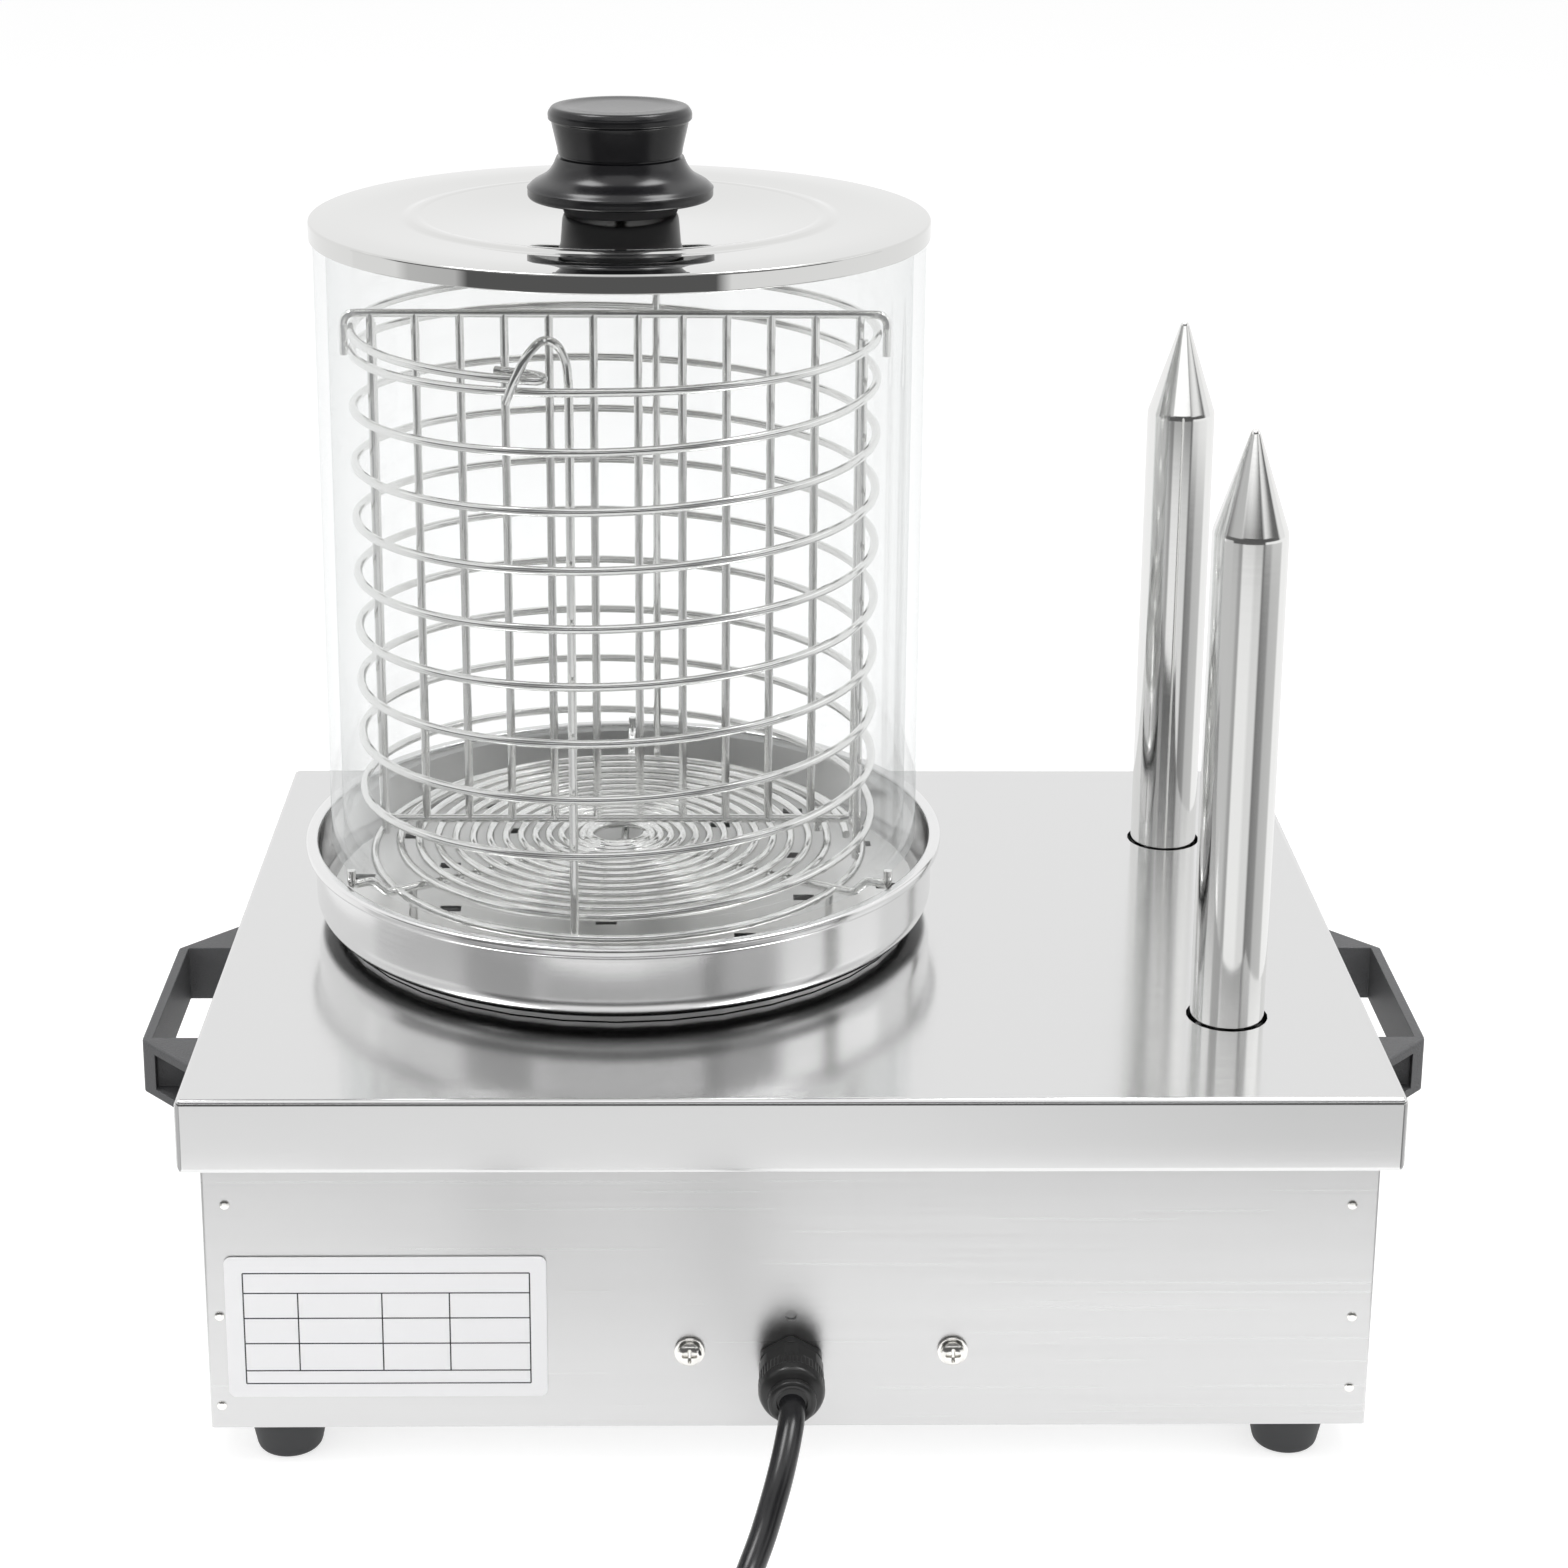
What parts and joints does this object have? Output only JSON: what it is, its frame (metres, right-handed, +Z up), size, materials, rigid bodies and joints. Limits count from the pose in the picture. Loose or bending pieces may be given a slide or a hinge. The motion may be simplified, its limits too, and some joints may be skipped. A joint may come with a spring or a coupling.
{
  "type": "hot dog spike machine",
  "caption": "Countertop hot dog machine: a glass steamer cylinder with a wire basket on a heated tray, beside heated bun spikes on a steel base.",
  "frame": {"origin": "bottom centre of the machine without its cord, on the surface that its feet stand on", "axes": "+Z up; +X along the length, to the right as seen from the rear; +Y towards the operator, so the cord leaves at -Y"},
  "size_m": [0.4248, 0.511, 0.4005],
  "materials": {
    "body_steel": "fine brushed",
    "cover_steel": "satin polished",
    "inner_steel": "mill",
    "handle_plastic": "fine textured",
    "foot_rubber": "matt",
    "label_foil": "satin",
    "gland_plastic": "satin",
    "screw_steel": "bright",
    "block_plastic": "satin",
    "cord_rubber": "satin",
    "wire_sleeve": "woven sleeve",
    "plate_aluminium": "cast and faced",
    "element_steel": "oxidised",
    "brown_plastic": "moulded",
    "copper": "drawn",
    "knob_plastic": "satin",
    "dial_plastic": "satin",
    "switch_plastic": "satin",
    "red_rocker": "gloss",
    "green_rocker": "gloss",
    "lamp_red": "clear",
    "polished_steel": "mirror polished",
    "tray_steel": "brushed",
    "polished_wire": "electropolished",
    "clear_glass": "clear"
  },
  "bodies": {
    "machine": {"base_shell": "body_steel", "top_cover": "cover_steel", "bottom_plate": "inner_steel", "left_handle": "handle_plastic", "right_handle": "handle_plastic", "left_rear_foot": "foot_rubber", "right_rear_foot": "foot_rubber", "left_front_foot": "foot_rubber", "right_front_foot": "foot_rubber", "rating_plate": "label_foil", "gland_body": "gland_plastic", "gland_nut": "gland_plastic", "gland_locknut": "gland_plastic", "left_rear_screw": "screw_steel", "right_rear_screw": "screw_steel", "left_rear_washer": "screw_steel", "right_rear_washer": "screw_steel", "terminal_bracket": "inner_steel", "terminal_block": "block_plastic", "supply_lead": "cord_rubber", "wiring": "wire_sleeve", "heating_plate": "plate_aluminium", "heating_element": "element_steel", "element_clamp": "inner_steel", "clamp_nut": "screw_steel", "thermal_cutout": "brown_plastic", "thermostat_bulb": "copper", "capillary_tube": "copper", "thermostat_body": "brown_plastic", "dial_plate": "dial_plastic", "heat_switch_housing": "switch_plastic", "spike_switch_housing": "switch_plastic", "left_pilot_lamp": "lamp_red", "right_pilot_lamp": "lamp_red", "spike_bracket": "inner_steel", "rear_spike": "polished_steel", "front_spike": "polished_steel", "rear_spike_heater": "element_steel", "front_spike_heater": "element_steel", "rear_spike_nut": "screw_steel", "front_spike_nut": "screw_steel", "mains_cord": "cord_rubber", "cord_coil": "cord_rubber", "mains_plug": "cord_rubber"},
    "dial": {"thermostat_knob": "knob_plastic", "thermostat_shaft": "screw_steel"},
    "heat_rocker": {"heat_switch_rocker": "red_rocker"},
    "spike_rocker": {"spike_switch_rocker": "green_rocker"},
    "tray": {"tray": "tray_steel"},
    "plate": {"perforated_plate": "tray_steel"},
    "basket": {"basket_coil": "polished_wire", "basket_floor": "polished_wire", "basket_frame": "polished_wire"},
    "divider": {"divider": "polished_wire"},
    "glass": {"glass_cylinder": "clear_glass"},
    "lid": {"lid": "polished_steel", "lid_collar": "knob_plastic", "lid_knob": "knob_plastic", "lid_screw": "screw_steel"}
  },
  "joints": [
    {"name": "thermostat_turn", "type": "hinge", "parent": "machine", "child": "dial", "pos_m": [-0.0544, 0.1365, 0.058], "axis": [0, -1, 0], "range_deg": [0, 270]},
    {"name": "heat_switch_tilt", "type": "hinge", "parent": "machine", "child": "heat_rocker", "pos_m": [0.035, 0.1363, 0.05], "axis": [1, 0, 0], "range_deg": [0, 18]},
    {"name": "spike_switch_tilt", "type": "hinge", "parent": "machine", "child": "spike_rocker", "pos_m": [0.095, 0.1363, 0.05], "axis": [1, 0, 0], "range_deg": [0, 18]},
    {"name": "tray_lift", "type": "slide", "parent": "machine", "child": "tray", "axis": [0, 0, 1], "range_m": [0, 0.15]},
    {"name": "glass_lift", "type": "slide", "parent": "tray", "child": "glass", "axis": [0, 0, 1], "range_m": [0, 0.25]},
    {"name": "lid_lift", "type": "slide", "parent": "glass", "child": "lid", "axis": [0, 0, 1], "range_m": [0, 0.12]},
    {"name": "basket_lift", "type": "slide", "parent": "tray", "child": "basket", "axis": [0, 0, 1], "range_m": [0, 0.125]},
    {"name": "plate_lift", "type": "slide", "parent": "tray", "child": "plate", "axis": [0, 0, 1], "range_m": [0, 0.0625]},
    {"name": "divider_lift", "type": "slide", "parent": "basket", "child": "divider", "axis": [0, 0, 1], "range_m": [0, 0.06]}
  ],
  "couplings": [
    {"joint": "basket_lift", "follows": "glass_lift", "ratio": 0.5},
    {"joint": "plate_lift", "follows": "glass_lift", "ratio": 0.25},
    {"joint": "divider_lift", "follows": "lid_lift", "ratio": 0.5}
  ]
}
